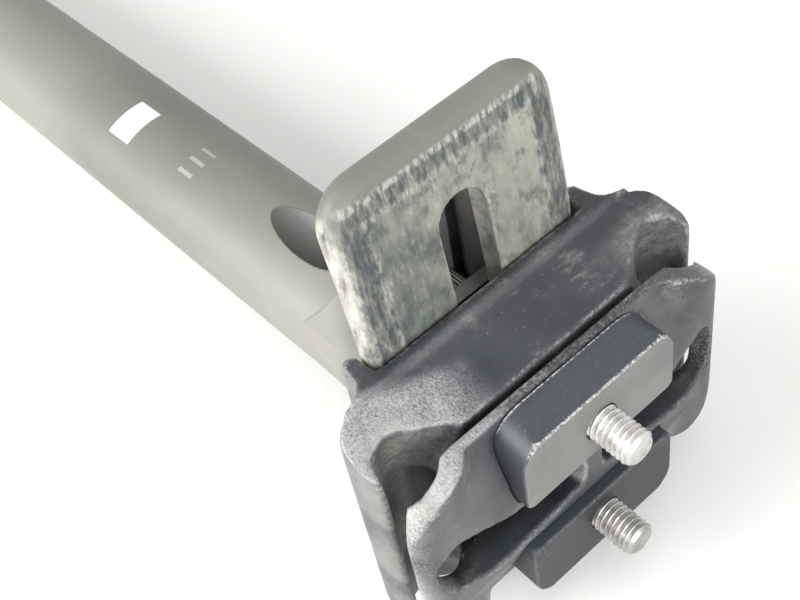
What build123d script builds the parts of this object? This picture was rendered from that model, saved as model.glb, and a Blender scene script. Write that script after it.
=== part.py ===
from build123d import *
import math
import os

# Bicycle seatpost: slim D-section post, long slotted curved deck, two-bolt saddle-rail clamp.
# +Z is up along the clamp bolts, -Y is the rear of the bicycle, X is across it, in millimetres.
# The origin is the centre of the post's section at its lower end.

# Post
post_half_width = 10.8
post_rear_depth = 8.6
post_front_depth = 14.0
post_wall = 2.2
post_lean = 3.25
bore_drop = 68.0

# Saddle rails
rail_level = 289.5
rail_radius = 3.5
rail_fit = 0.1
rail_half_spacing = 22.0
clamp_setback = 4.6

# Deck: curved track on top of the head, an arc about the far tilt axis
track_radius = 240.0
rail_rise = 9.4
deck_depth = 4.4
deck_half_width = 17.2
deck_rear = 44.8
deck_front = 25.0
deck_corner = 6.0
deck_edge_round = 2.1

# Neck and gusset that carry the deck
neck_low_drop = 46.0
neck_mid_drop = 28.0
neck_top_drop = 11.8
neck_mid_half = 11.4
neck_top_half = 13.6
neck_mid_rear = 9.2
neck_top_rear = 12.0
neck_top_front = 15.6
gusset_half = 9.8
gusset_rear = 40.0
gusset_low_drop = 42.0
gusset_sag = 2.5

# Bolt slot, cavity and key ways in the head
slot_half = 3.8
slot_rear = 35.5
slot_front = 15.8
slot_wall = 3.4
cavity_half = 7.0
cavity_rear = 37.9
cavity_front = 18.8
cavity_drop = 22.6
service_half = 5.6
service_front = 6.5
key_radius = 3.8
key_lean = 21.0
key_drop = 49.0

# Lower clamp
clamp_half_length = 17.5
hook_wall = 1.6
parting_rise = 1.2
parting_gap = 1.0
parting_inset = 0.2
cradle_gap = 0.25
horn_gap = 0.35
horn_wall = 2.1
horn_drop = 15.4
horn_round = 1.4
waist_step = 1.05
waist_drop = 9.9
hook_bulge = 3.7
hook_drop = 7.4
hook_side_drop = 4.4
hook_tip_rise = 0.4
hook_tip_step = 0.6
lip_step = 3.3
lip_drop = 8.0
skirt_step = 2.3
skirt_mid_step = 1.0
skirt_mid_drop = 4.6
skirt_corner = 10.0
mouth_depth = 6.0
mouth_inner = 10.6
mouth_outer = 4.7
mouth_slope_inner = 5.4
mouth_slope_drop = 0.8
mouth_drop = 3.9
mouth_side_drop = 2.7

# Upper clamp
lobe_wall = 3.0
crown_rise = 8.2
crown_half = 12.0
shoulder_half = 19.0
shoulder_rise = 7.3
brow_half = 23.5
brow_rise = 5.9
roof_rise = 8.0
roof_edge_rise = 3.6
roof_round = 3.0
outer_lift = 1.6
nut_seat_rise = 4.0
corner_round = 11.0
web_half = 1.6
window_inner_half = 2.6
window_nut_half = 4.0
window_nut_clear = 0.7
window_shoulder_step = 4.8
window_outer_half = 5.2
window_overrun = 3.0
window_round = 1.4
window_end_round = 4.6

# Nut plates
nut_half_length = 12.9
nut_rise = 9.5
nut_overhang = 0.2
nut_bevel = 0.7
notch_wall = 1.3
nut_foot = 0.9
nut_end_round = 4.6
nut_inner_round = 1.2
seat_gap = 0.1
seat_edge = 0.5

# Bolts and curved washers
bolt_radius = 2.5
bolt_edge = 6.8
bolt_tip_rise = 15.7
bolt_tip_chamfer = 0.55
bolt_hole_gap = 0.25
thread_gap = 0.05
head_radius = 4.25
head_length = 5.0
head_edge = 0.35
hex_across = 4.0
hex_depth = 2.6
washer_half_width = 6.2
washer_half_length = 4.8
washer_depth = 2.7
washer_gap = 0.25

# Derived places; heights count from the tilt axis
lean = math.radians(post_lean)
clamp_y = -rail_level * math.tan(lean) - clamp_setback
rail_height = track_radius + rail_rise
axis_z = rail_level - rail_height
parting_low = rail_height + parting_rise
parting_high = parting_low + parting_gap
groove = rail_radius + rail_fit
clamp_half_width = rail_half_spacing + groove + hook_wall
hook_half = rail_half_spacing + hook_bulge
lip_reach = clamp_half_length + lip_step
skirt_reach = clamp_half_length + skirt_step
skirt_mid_reach = clamp_half_length + skirt_mid_step
nut_outer = clamp_half_length + nut_overhang
nut_ridge = nut_outer - nut_bevel
notch_inner = window_nut_half + notch_wall
nut_inner = notch_inner + seat_gap
bolt_half_spacing = clamp_half_length - bolt_edge
window_end = rail_half_spacing + window_overrun
window_nut_end = nut_half_length + window_nut_clear
window_shoulder = window_nut_end + window_shoulder_step
parting_reach = clamp_half_length - parting_inset
crown_top = rail_height + crown_rise
roof = rail_height + roof_rise
roof_edge = rail_height + roof_edge_rise
hook_tip = rail_height + hook_tip_rise
nut_seat = rail_height + nut_seat_rise
nut_top = rail_height + nut_rise
bolt_tip = rail_height + bolt_tip_rise
lobe_radius = groove + lobe_wall
deck_under = track_radius - deck_depth
slot_floor = track_radius - slot_wall
washer_back = slot_floor - washer_gap
washer_seat = washer_back - washer_depth
cavity_low = rail_height - cavity_drop
gusset_low = rail_height - gusset_low_drop
horn_low = rail_height - horn_drop
horn_half = deck_half_width + horn_gap + horn_wall
waist_half = horn_half + waist_step
lip_top = rail_height - lip_drop
wide = 2 * clamp_half_width

# Working planes: three through the tilt axis, one along the leaning post
pivot = (0, clamp_y, axis_z)
side = Plane(origin=pivot, x_dir=(0, 1, 0), z_dir=(1, 0, 0))
front = Plane(origin=pivot, x_dir=(1, 0, 0), z_dir=(0, -1, 0))
top = Plane(origin=pivot, x_dir=(1, 0, 0), z_dir=(0, 0, 1))
post = Plane(origin=(0, 0, 0), x_dir=(1, 0, 0), z_dir=(0, -math.sin(lean), math.cos(lean)))


def post_section(half_width, rear, forward):
    """Closed D outline about the post axis, drawn in the sketch that is open."""
    with BuildLine() as outline:
        EllipticalCenterArc((0, 0), half_width, forward, start_angle=0, arc_size=180)
        EllipticalCenterArc((0, 0), half_width, rear, start_angle=180, arc_size=180)
    make_face(outline.edges())


def up_post(drop):
    """Distance along the post axis to a level below the rails."""
    return (rail_level - drop) / math.cos(lean)


# Curved deck with a fully rounded rim
with BuildPart() as deck:
    with BuildSketch(side):
        Circle(track_radius)
        Circle(deck_under, mode=Mode.SUBTRACT)
        with Locations(((deck_front - deck_rear) / 2, track_radius)):
            Rectangle(deck_front + deck_rear, track_radius, mode=Mode.INTERSECT)
    extrude(amount=deck_half_width, both=True)
    fillet(deck.edges().filter_by(Axis.Z), deck_corner)
    fillet(deck.faces().filter_by(GeomType.CYLINDER).sort_by(SortBy.AREA)[-1].edges(), deck_edge_round)
    fillet(deck.faces().filter_by(GeomType.CYLINDER).sort_by(SortBy.AREA)[-1].edges(), deck_edge_round)

# Gusset that carries the rear overhang of the deck
with BuildPart() as gusset:
    with BuildSketch(side):
        with BuildLine():
            heel = (clamp_setback, gusset_low)
            tip = (-gusset_rear, deck_under)
            crown = (clamp_setback, track_radius - deck_depth / 2)
            middle = ((heel[0] + tip[0]) / 2, (heel[1] + tip[1]) / 2 + gusset_sag)
            ThreePointArc(heel, middle, tip)
            Line(tip, crown)
            Line(crown, heel)
        make_face()
    extrude(amount=gusset_half, both=True)

# Post, neck, gusset and deck in one piece
with BuildPart() as seatpost_body:
    with BuildSketch(post):
        post_section(post_half_width, post_rear_depth, post_front_depth)
    extrude(amount=up_post(neck_low_drop))
    with BuildSketch(post.offset(up_post(neck_low_drop))):
        post_section(post_half_width, post_rear_depth, post_front_depth)
    with BuildSketch(post.offset(up_post(neck_mid_drop))):
        post_section(neck_mid_half, neck_mid_rear, post_front_depth)
    with BuildSketch(post.offset(up_post(neck_top_drop))):
        post_section(neck_top_half, neck_top_rear, neck_top_front)
    loft()
    add(gusset.part)
    add(deck.part)
    # Hollow tube, open at the lower end
    with BuildSketch(post):
        post_section(post_half_width - post_wall, post_rear_depth - post_wall, post_front_depth - post_wall)
    extrude(amount=up_post(bore_drop), mode=Mode.SUBTRACT)
    # Cavity under the deck for the washers and bolt heads
    with BuildSketch(side):
        Circle(slot_floor)
        with Locations(((cavity_front - cavity_rear) / 2, cavity_low + track_radius / 2)):
            Rectangle(cavity_front + cavity_rear, track_radius, mode=Mode.INTERSECT)
    extrude(amount=cavity_half, both=True, mode=Mode.SUBTRACT)
    # Round-ended slot through the deck
    with BuildSketch(top.offset(cavity_low)):
        with Locations((0, (slot_front - slot_rear) / 2)):
            SlotOverall(slot_front + slot_rear, 2 * slot_half, rotation=90)
    extrude(amount=track_radius, mode=Mode.SUBTRACT)
    # Opening in the underside of the overhang, for the rear bolt's key
    with BuildSketch(top.offset(gusset_low)):
        with Locations((0, -(cavity_rear + service_front) / 2)):
            RectangleRounded(2 * service_half, cavity_rear - service_front, slot_half)
    extrude(amount=slot_floor - washer_depth - gusset_low, mode=Mode.SUBTRACT)
    # Slanted key hole from the rear face up to the front bolt
    key_angle = math.radians(key_lean)
    key_rise = (key_drop - cavity_drop + key_radius) / math.cos(key_angle)
    key_plane = Plane(origin=(0, clamp_y + bolt_half_spacing, axis_z + cavity_low + key_radius),
                      x_dir=(1, 0, 0), z_dir=(0, -math.sin(key_angle), -math.cos(key_angle)))
    with BuildSketch(key_plane):
        Circle(key_radius)
    extrude(amount=2 * key_rise, mode=Mode.SUBTRACT)
    seatpost_body.part.label = "seatpost_body"

# Lower clamp: cradle on the deck, horns down its sides, hooks around the rails
with BuildPart() as lower_block:
    with BuildSketch(front):
        with BuildLine():
            for hand in (-1, 1):
                Line((0, horn_low), (hand * (horn_half - horn_round), horn_low))
                Spline([(hand * (horn_half - horn_round), horn_low),
                        (hand * horn_half, horn_low + horn_round),
                        (hand * waist_half, rail_height - waist_drop),
                        (hand * hook_half, rail_height - hook_drop),
                        (hand * clamp_half_width, rail_height - hook_side_drop),
                        (hand * (clamp_half_width - hook_tip_step), hook_tip)])
                Line((hand * (clamp_half_width - hook_tip_step), hook_tip),
                     (hand * (rail_half_spacing + groove), hook_tip))
                Line((hand * (rail_half_spacing + groove), hook_tip),
                     (hand * (rail_half_spacing + groove), rail_height))
                ThreePointArc((hand * (rail_half_spacing + groove), rail_height),
                              (hand * rail_half_spacing, rail_height - groove),
                              (hand * (rail_half_spacing - groove), rail_height))
                Line((hand * (rail_half_spacing - groove), rail_height),
                     (hand * (rail_half_spacing - groove), parting_low))
                Line((hand * (rail_half_spacing - groove), parting_low), (0, parting_low))
        make_face()
    extrude(amount=lip_reach, both=True)
    with BuildSketch(side):
        with BuildLine():
            Line((-parting_reach, parting_low), (parting_reach, parting_low))
            for hand in (-1, 1):
                Spline([(hand * parting_reach, parting_low),
                        (hand * skirt_mid_reach, rail_height - skirt_mid_drop),
                        (hand * skirt_reach, lip_top)])
                Line((hand * skirt_reach, lip_top), (hand * lip_reach, lip_top))
                Line((hand * lip_reach, lip_top), (hand * lip_reach, horn_low + horn_wall))
                Line((hand * lip_reach, horn_low + horn_wall), (hand * (lip_reach - horn_wall), horn_low))
            Line((-lip_reach + horn_wall, horn_low), (lip_reach - horn_wall, horn_low))
        make_face()
    extrude(amount=wide, both=True, mode=Mode.INTERSECT)
    with BuildSketch(top):
        RectangleRounded(2 * clamp_half_width, 2 * lip_reach, skirt_corner)
    extrude(amount=bolt_tip, mode=Mode.INTERSECT)

# Flared mouths where the rails leave the lower clamp
mouth_top = parting_low + parting_gap
wide_mouth = [(-mouth_inner, mouth_top), (-mouth_inner, parting_low),
              (-mouth_slope_inner, rail_height - mouth_slope_drop), (0, rail_height - mouth_drop),
              (groove, rail_height - mouth_side_drop), (mouth_outer, hook_tip), (mouth_outer, mouth_top)]
sink = groove / math.sqrt(2)
plain_mouth = [(-groove, mouth_top), (-groove, rail_height), (-sink, rail_height - sink),
               (0, rail_height - groove), (sink, rail_height - sink), (groove, rail_height),
               (groove, mouth_top)]
with BuildPart() as rear_left_mouth:
    for reach, outline in ((lip_reach, wide_mouth), (parting_reach - mouth_depth, plain_mouth)):
        with BuildSketch(front.offset(reach)):
            with BuildLine():
                Polyline([(rail_half_spacing + across, level) for across, level in outline], close=True)
            make_face()
    loft(ruled=True)

# The space the deck takes inside the cradle, with its gaps
with BuildPart() as cradle_space:
    with BuildSketch(side):
        Circle(track_radius + cradle_gap)
        with Locations((0, track_radius)):
            Rectangle(wide, track_radius, mode=Mode.INTERSECT)
    extrude(amount=deck_half_width + horn_gap, both=True)

with BuildPart() as lower_clamp:
    add(lower_block.part)
    add(cradle_space.part, mode=Mode.SUBTRACT)
    add(rear_left_mouth.part, mode=Mode.SUBTRACT)
    add(rear_left_mouth.part.mirror(front), mode=Mode.SUBTRACT)
    add(rear_left_mouth.part.mirror(side), mode=Mode.SUBTRACT)
    add(rear_left_mouth.part.mirror(side).mirror(front), mode=Mode.SUBTRACT)
    with BuildSketch(top):
        with Locations((0, -bolt_half_spacing), (0, bolt_half_spacing)):
            Circle(bolt_radius + bolt_hole_gap)
    extrude(amount=bolt_tip, mode=Mode.SUBTRACT)
    lower_clamp.part.label = "lower_clamp"

# Upper clamp: a low roof with a lobe over each rail, two windows and a notch for each nut plate
with BuildPart() as upper_clamp:
    with BuildSketch(front):
        with BuildLine():
            Line((-clamp_half_width, parting_high), (clamp_half_width, parting_high))
            for hand in (-1, 1):
                Line((0, crown_top), (hand * crown_half, crown_top))
                Spline([(hand * crown_half, crown_top),
                        (hand * shoulder_half, rail_height + shoulder_rise),
                        (hand * brow_half, rail_height + brow_rise),
                        (hand * clamp_half_width, roof_edge)])
                Line((hand * clamp_half_width, roof_edge), (hand * clamp_half_width, parting_high))
        make_face()
    extrude(amount=clamp_half_length, both=True)
    with BuildSketch(side):
        with BuildLine():
            Polyline([(-clamp_half_length, parting_low), (-clamp_half_length, roof_edge),
                      (-window_outer_half, roof), (window_outer_half, roof),
                      (clamp_half_length, roof_edge), (clamp_half_length, parting_low)], close=True)
        make_face()
        fillet(vertices().group_by(Axis.Y)[-1], roof_round)
    extrude(amount=wide, both=True, mode=Mode.INTERSECT)
    # Lobes along the rails
    with BuildSketch(front):
        with Locations((-rail_half_spacing, rail_height), (rail_half_spacing, rail_height)):
            Circle(lobe_radius)
        with Locations((0, parting_high + lobe_radius)):
            Rectangle(2 * wide, 2 * lobe_radius, mode=Mode.INTERSECT)
    extrude(amount=clamp_half_length, both=True)
    with BuildSketch(top.offset(parting_low)):
        RectangleRounded(2 * clamp_half_width, 2 * clamp_half_length, corner_round)
    extrude(amount=crown_rise, mode=Mode.INTERSECT)
    # Round grooves for the rails, open on their outer side
    groove_reach = math.sqrt(groove ** 2 - (parting_high - rail_height) ** 2)
    with BuildSketch(front):
        with Locations((-rail_half_spacing, rail_height), (rail_half_spacing, rail_height)):
            Circle(groove)
        for hand in (-1, 1):
            with BuildLine():
                Polyline([(hand * (rail_half_spacing + groove_reach), parting_high),
                          (hand * wide, parting_high),
                          (hand * wide, roof_edge),
                          (hand * clamp_half_width, parting_high + outer_lift)], close=True)
            make_face()
    extrude(amount=wide, both=True, mode=Mode.SUBTRACT)
    # Windows between the two bars, parted by the middle web
    with BuildSketch(top):
        for hand in (-1, 1):
            with BuildLine():
                Polyline([(hand * web_half, -window_inner_half),
                          (hand * window_nut_end, -window_nut_half),
                          (hand * window_shoulder, -window_outer_half),
                          (hand * window_end, -window_outer_half),
                          (hand * window_end, window_outer_half),
                          (hand * window_shoulder, window_outer_half),
                          (hand * window_nut_end, window_nut_half),
                          (hand * web_half, window_inner_half)], close=True)
            make_face()
        outer_corners = vertices().filter_by(lambda v: abs(v.X) > (window_shoulder + window_end) / 2)
        fillet(outer_corners, window_end_round)
        inner_corners = vertices().filter_by(lambda v: abs(v.X) < window_nut_end / 2)
        fillet(inner_corners, window_round)
    extrude(amount=bolt_tip, mode=Mode.SUBTRACT)
    # Notches for the nut plates, open to the outside
    with BuildSketch(top.offset(nut_seat)):
        for hand in (-1, 1):
            with Locations((0, hand * (notch_inner + wide) / 2)):
                RectangleRounded(2 * (nut_half_length + seat_gap), wide - notch_inner, seat_edge)
    extrude(amount=bolt_tip, mode=Mode.SUBTRACT)
    with BuildSketch(top):
        with Locations((0, -bolt_half_spacing), (0, bolt_half_spacing)):
            Circle(bolt_radius + bolt_hole_gap)
    extrude(amount=bolt_tip, mode=Mode.SUBTRACT)
    upper_clamp.part.label = "upper_clamp"

# Bevelled nut plates; the front one mirrors the rear one
with BuildPart() as rear_nut_plate:
    with BuildSketch(side):
        with BuildLine():
            Polyline([(-nut_inner, nut_seat),
                      (-nut_outer, nut_seat),
                      (-nut_outer, nut_seat + nut_foot),
                      (-nut_ridge, nut_top),
                      (-nut_inner, nut_top)], close=True)
        make_face()
    extrude(amount=nut_half_length, both=True)
    with BuildSketch(top):
        with Locations((0, -(nut_inner + nut_outer) / 2)):
            Rectangle(2 * nut_half_length, nut_outer - nut_inner)
        fillet(vertices().group_by(Axis.Y)[0], nut_end_round)
        fillet(vertices().group_by(Axis.Y)[-1], nut_inner_round)
    extrude(amount=bolt_tip, mode=Mode.INTERSECT)
    with BuildSketch(top):
        with Locations((0, -bolt_half_spacing)):
            Circle(bolt_radius + thread_gap)
    extrude(amount=bolt_tip, mode=Mode.SUBTRACT)
    rear_nut_plate.part.label = "rear_nut_plate"

with BuildPart() as front_nut_plate:
    mirror(rear_nut_plate.part, about=front)
    front_nut_plate.part.label = "front_nut_plate"

# Socket-head bolts, heads downwards under the deck
with BuildPart() as rear_bolt:
    with BuildSketch(top.offset(washer_seat - head_length)):
        with Locations((0, -bolt_half_spacing)):
            Circle(head_radius)
    extrude(amount=head_length)
    with BuildSketch(top.offset(washer_seat)):
        with Locations((0, -bolt_half_spacing)):
            Circle(bolt_radius)
    extrude(amount=bolt_tip - washer_seat)
    chamfer(rear_bolt.edges().group_by(Axis.Z)[-1], bolt_tip_chamfer)
    fillet(rear_bolt.edges().group_by(Axis.Z)[0], head_edge)
    with BuildSketch(top.offset(washer_seat - head_length)):
        with Locations((0, -bolt_half_spacing)):
            RegularPolygon(hex_across / 2, 6, major_radius=False)
    extrude(amount=hex_depth, mode=Mode.SUBTRACT)
    rear_bolt.part.label = "rear_bolt"

with BuildPart() as front_bolt:
    mirror(rear_bolt.part, about=front)
    front_bolt.part.label = "front_bolt"

# Washers with a curved back and a flat seat for the bolt head
with BuildPart() as rear_washer:
    with BuildSketch(side):
        Circle(washer_back)
        with Locations((-bolt_half_spacing, washer_seat + washer_back / 2)):
            Rectangle(2 * washer_half_length, washer_back, mode=Mode.INTERSECT)
    extrude(amount=washer_half_width, both=True)
    with BuildSketch(top):
        with Locations((0, -bolt_half_spacing)):
            Circle(bolt_radius + bolt_hole_gap)
    extrude(amount=track_radius, mode=Mode.SUBTRACT)
    rear_washer.part.label = "rear_washer"

with BuildPart() as front_washer:
    mirror(rear_washer.part, about=front)
    front_washer.part.label = "front_washer"

os.makedirs("parts", exist_ok=True)
export_step(seatpost_body.part, "parts/seatpost_body.step")
export_step(lower_clamp.part, "parts/lower_clamp.step")
export_step(upper_clamp.part, "parts/upper_clamp.step")
export_step(rear_nut_plate.part, "parts/rear_nut_plate.step")
export_step(front_nut_plate.part, "parts/front_nut_plate.step")
export_step(rear_bolt.part, "parts/rear_bolt.step")
export_step(front_bolt.part, "parts/front_bolt.step")
export_step(rear_washer.part, "parts/rear_washer.step")
export_step(front_washer.part, "parts/front_washer.step")
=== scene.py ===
"""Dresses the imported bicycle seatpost: worn finishes, forged clamps, bolts and a studio."""
import logging
import math
from dataclasses import dataclass
from enum import Enum
from typing import Any, Optional, Union

import bmesh
import bpy
from mathutils import Matrix, Vector


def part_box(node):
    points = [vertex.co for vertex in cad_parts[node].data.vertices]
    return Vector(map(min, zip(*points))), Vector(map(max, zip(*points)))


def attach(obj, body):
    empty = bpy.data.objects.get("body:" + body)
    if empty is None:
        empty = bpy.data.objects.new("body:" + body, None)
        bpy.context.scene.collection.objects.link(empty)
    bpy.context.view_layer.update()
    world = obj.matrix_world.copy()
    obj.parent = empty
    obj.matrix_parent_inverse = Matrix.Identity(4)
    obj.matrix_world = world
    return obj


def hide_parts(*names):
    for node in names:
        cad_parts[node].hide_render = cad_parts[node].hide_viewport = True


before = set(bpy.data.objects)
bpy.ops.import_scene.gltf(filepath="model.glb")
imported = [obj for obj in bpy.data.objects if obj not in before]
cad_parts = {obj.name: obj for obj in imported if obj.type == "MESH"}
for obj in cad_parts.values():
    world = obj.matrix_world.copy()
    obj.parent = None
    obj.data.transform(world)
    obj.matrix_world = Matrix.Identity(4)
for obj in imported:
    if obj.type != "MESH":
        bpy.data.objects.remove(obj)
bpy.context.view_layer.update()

log = logging.getLogger("seatpost")
Colour = tuple[float, float, float]
Span = tuple[float, float]
MM = 0.001
RELIEF = "relief"
CLAMP_Y = -21.04  # middle of the clamp at rest, along the bicycle
RAIL_X = 22.0  # centres of the saddle's rails
RAIL_Z = 289.5


class Body(Enum):
    """The bodies of the frame that a piece can ride on."""

    POST = "post"
    CLAMP = "saddle_clamp"


class Slot(Enum):
    """The record's material slots."""

    POST = "post_black"
    CLAMP = "clamp_black"
    NUT = "nut_grey"
    STEEL = "bolt_steel"


class Axis(Enum):
    """The axes of the frame, by place."""

    ACROSS = 0
    ALONG = 1
    UP = 2


class Wire:
    """A node socket that takes part in plain arithmetic."""

    def __init__(self, tree: bpy.types.NodeTree, socket: bpy.types.NodeSocket) -> None:
        """Keeps the tree and the output socket."""
        self.tree = tree
        self.socket = socket

    def _join(self, operation: str, first: Any, second: Any = None) -> "Wire":
        """Adds one Math node.

        Args:
            operation: the Math node's operation.
            first: number or wire for the first input.
            second: number or wire for the second input.
        Returns:
            The node's value.
        """
        node = self.tree.nodes.new("ShaderNodeMath")
        node.operation = operation
        for place, value in zip(node.inputs, (first, second)):
            if isinstance(value, Wire):
                self.tree.links.new(value.socket, place)
            elif value is not None:
                place.default_value = value
        return Wire(self.tree, node.outputs[0])

    def __add__(self, other: Any) -> "Wire":
        """Sum."""
        return self._join("ADD", self, other)

    def __radd__(self, other: Any) -> "Wire":
        """Sum, reflected."""
        return self._join("ADD", other, self)

    def __sub__(self, other: Any) -> "Wire":
        """Difference."""
        return self._join("SUBTRACT", self, other)

    def __rsub__(self, other: Any) -> "Wire":
        """Difference, reflected."""
        return self._join("SUBTRACT", other, self)

    def __mul__(self, other: Any) -> "Wire":
        """Product."""
        return self._join("MULTIPLY", self, other)

    def __truediv__(self, other: Any) -> "Wire":
        """Quotient."""
        return self._join("DIVIDE", self, other)

    def __pow__(self, other: Any) -> "Wire":
        """Power."""
        return self._join("POWER", self, other)

    def size(self) -> "Wire":
        """Absolute value."""
        return self._join("ABSOLUTE", self)

    def least(self, other: Any) -> "Wire":
        """The smaller of two."""
        return self._join("MINIMUM", self, other)

    def most(self, other: Any) -> "Wire":
        """The larger of two."""
        return self._join("MAXIMUM", self, other)

    def sine(self) -> "Wire":
        """Sine."""
        return self._join("SINE", self)

    def cosine(self) -> "Wire":
        """Cosine."""
        return self._join("COSINE", self)

    def zigzag(self, span: float) -> "Wire":
        """Runs up and down between nought and span."""
        return self._join("PINGPONG", self, span)

    def rises(self, low: float, high: float) -> "Wire":
        """Smooth step.

        Args:
            low: value at which the step starts at nought.
            high: value at which it reaches one.
        Returns:
            The step, from nought to one.
        """
        part = ((self - low) / (high - low)).most(0.0).least(1.0)
        return part * part * (3.0 - part * 2.0)

    def falls(self, low: float, high: float) -> "Wire":
        """One below low, nought above high."""
        return 1.0 - self.rises(low, high)


class Graph:
    """A node tree and the one method that adds nodes to it."""

    def __init__(self, tree: bpy.types.NodeTree) -> None:
        """Keeps the tree."""
        self.tree = tree

    def node(
        self,
        kind: str,
        settings: Optional[dict[str, Any]] = None,
        inputs: Optional[dict[Any, Any]] = None,
    ) -> bpy.types.Node:
        """Adds a node.

        Args:
            kind: the node's type name.
            settings: properties to set first.
            inputs: socket name or number to value or wire.
        Returns:
            The new node.
        """
        new = self.tree.nodes.new(kind)
        for key, value in (settings or {}).items():
            setattr(new, key, value)
        for key, value in (inputs or {}).items():
            place = new.inputs[key]
            if isinstance(value, Wire):
                self.tree.links.new(value.socket, place)
            elif isinstance(value, tuple) and len(value) == 3 and place.type == "RGBA":
                place.default_value = (*value, 1.0)
            else:
                place.default_value = value
        return new

    def wire(self, node: bpy.types.Node, output: Union[int, str] = 0) -> Wire:
        """One output of a node as a wire."""
        return Wire(self.tree, node.outputs[output])


class Paint(Graph):
    """A material in the making, on Object coordinates in millimetres."""

    def __init__(self, name: str) -> None:
        """Starts an empty material.

        Args:
            name: the material's name.
        """
        self.material = bpy.data.materials.new(name)
        self.material.use_nodes = True
        super().__init__(self.material.node_tree)
        self.tree.nodes.clear()
        place = self.wire(self.node("ShaderNodeTexCoord"), "Object")
        inputs = {0: place, "Scale": 1.0 / MM}
        self.place = self.wire(self.node("ShaderNodeVectorMath", {"operation": "SCALE"}, inputs))
        parts = self.node("ShaderNodeSeparateXYZ", None, {0: self.place})
        self.x, self.y, self.z = (self.wire(parts, axis.value) for axis in Axis)
        self.base: Union[Wire, Colour] = (0.0, 0.0, 0.0)

    def noise(
        self,
        grain: float,
        detail: float = 3.0,
        stretch: Colour = (1.0, 1.0, 1.0),
        shift: float = 0.0,
        rough: float = 0.55,
    ) -> Wire:
        """Cloudy noise.

        Args:
            grain: size of one cloud in millimetres.
            detail: octaves.
            stretch: how many times longer the clouds are along each axis.
            shift: place in the noise, so that no two are alike.
            rough: weight of the finer octaves.
        Returns:
            The noise, about a half.
        """
        scale = tuple(1.0 / (grain * part) for part in stretch)
        start = (shift, 1.7 * shift, 0.6 * shift)
        inputs = {"Vector": self.place, "Scale": scale, "Location": start}
        moved = self.wire(self.node("ShaderNodeMapping", None, inputs))
        inputs = {"Vector": moved, "Scale": 1.0, "Detail": detail, "Roughness": rough}
        return self.wire(self.node("ShaderNodeTexNoise", None, inputs))

    def specks(self, spacing: float, width: float, shift: float = 0.0) -> Wire:
        """Scattered round specks.

        Args:
            spacing: distance between neighbours in millimetres.
            width: radius of a speck as a share of the spacing.
            shift: place in the pattern.
        Returns:
            One on a speck, nought elsewhere.
        """
        inputs = {"Vector": self.place, "Location": (shift, shift, shift)}
        moved = self.wire(self.node("ShaderNodeMapping", None, inputs))
        inputs = {"Vector": moved, "Scale": 1.0 / spacing}
        cells = self.node("ShaderNodeTexVoronoi", {"feature": "F1"}, inputs)
        return self.wire(cells, "Distance").falls(0.4 * width, width)

    def mix(
        self, share: Union[Wire, float], first: Union[Wire, Colour], second: Union[Wire, Colour]
    ) -> Wire:
        """Blends two colours.

        Args:
            share: nought for the first colour, one for the second.
            first: colour or wire.
            second: colour or wire.
        Returns:
            The blended colour.
        """
        settings = {"data_type": "RGBA", "clamp_factor": True}
        blend = self.node("ShaderNodeMix", settings, {0: share, 6: first, 7: second})
        return self.wire(blend, 2)

    def cover(self, share: Union[Wire, float], colour: Union[Wire, Colour]) -> None:
        """Lays a colour over what is there, by its share."""
        self.base = self.mix(share, self.base, colour)

    def attribute(self, name: str) -> Wire:
        """A number that the mesh keeps at its points."""
        return self.wire(self.node("ShaderNodeAttribute", {"attribute_name": name}), "Fac")

    def facing(self, axis: Axis) -> Wire:
        """How far the surface faces along an axis, from minus one to one."""
        normal = self.wire(self.node("ShaderNodeNewGeometry"), "Normal")
        return self.wire(self.node("ShaderNodeSeparateXYZ", None, {0: normal}), axis.value)

    def rim(self, radius: float) -> tuple[Wire, Wire]:
        """Softened edges.

        Args:
            radius: rounding of the edges in millimetres.
        Returns:
            The softened normal, and a mask that is one on the edges.
        """
        soft = self.wire(self.node("ShaderNodeBevel", {"samples": 6}, {"Radius": radius * MM}))
        plain = self.wire(self.node("ShaderNodeNewGeometry"), "Normal")
        turn = self.node("ShaderNodeVectorMath", {"operation": "DOT_PRODUCT"}, {0: soft, 1: plain})
        return soft, (1.0 - self.wire(turn, "Value")).rises(0.02, 0.16)

    def bump(self, height: Wire, depth: float, normal: Optional[Wire] = None) -> Wire:
        """Fine relief.

        Args:
            height: relief from nought to one.
            depth: depth of the relief in millimetres.
            normal: normal to start from.
        Returns:
            The new normal.
        """
        inputs: dict[Any, Any] = {"Height": height, "Distance": depth * MM, "Strength": 1.0}
        if normal is not None:
            inputs["Normal"] = normal
        return self.wire(self.node("ShaderNodeBump", None, inputs))

    def close(
        self, rough: Wire, normal: Wire, metallic: float = 0.0, specular: float = 0.5
    ) -> bpy.types.Material:
        """Ends the material in one shader.

        Args:
            rough: roughness.
            normal: normal.
            metallic: nought or one.
            specular: strength of the reflection.
        Returns:
            The material.
        """
        inputs = {
            "Base Color": self.base,
            "Roughness": rough,
            "Normal": normal,
            "Metallic": metallic,
            "Specular IOR Level": specular,
        }
        shader = self.node("ShaderNodeBsdfPrincipled", None, inputs)
        self.node("ShaderNodeOutputMaterial", None, {"Surface": self.wire(shader)})
        return self.material


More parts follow.
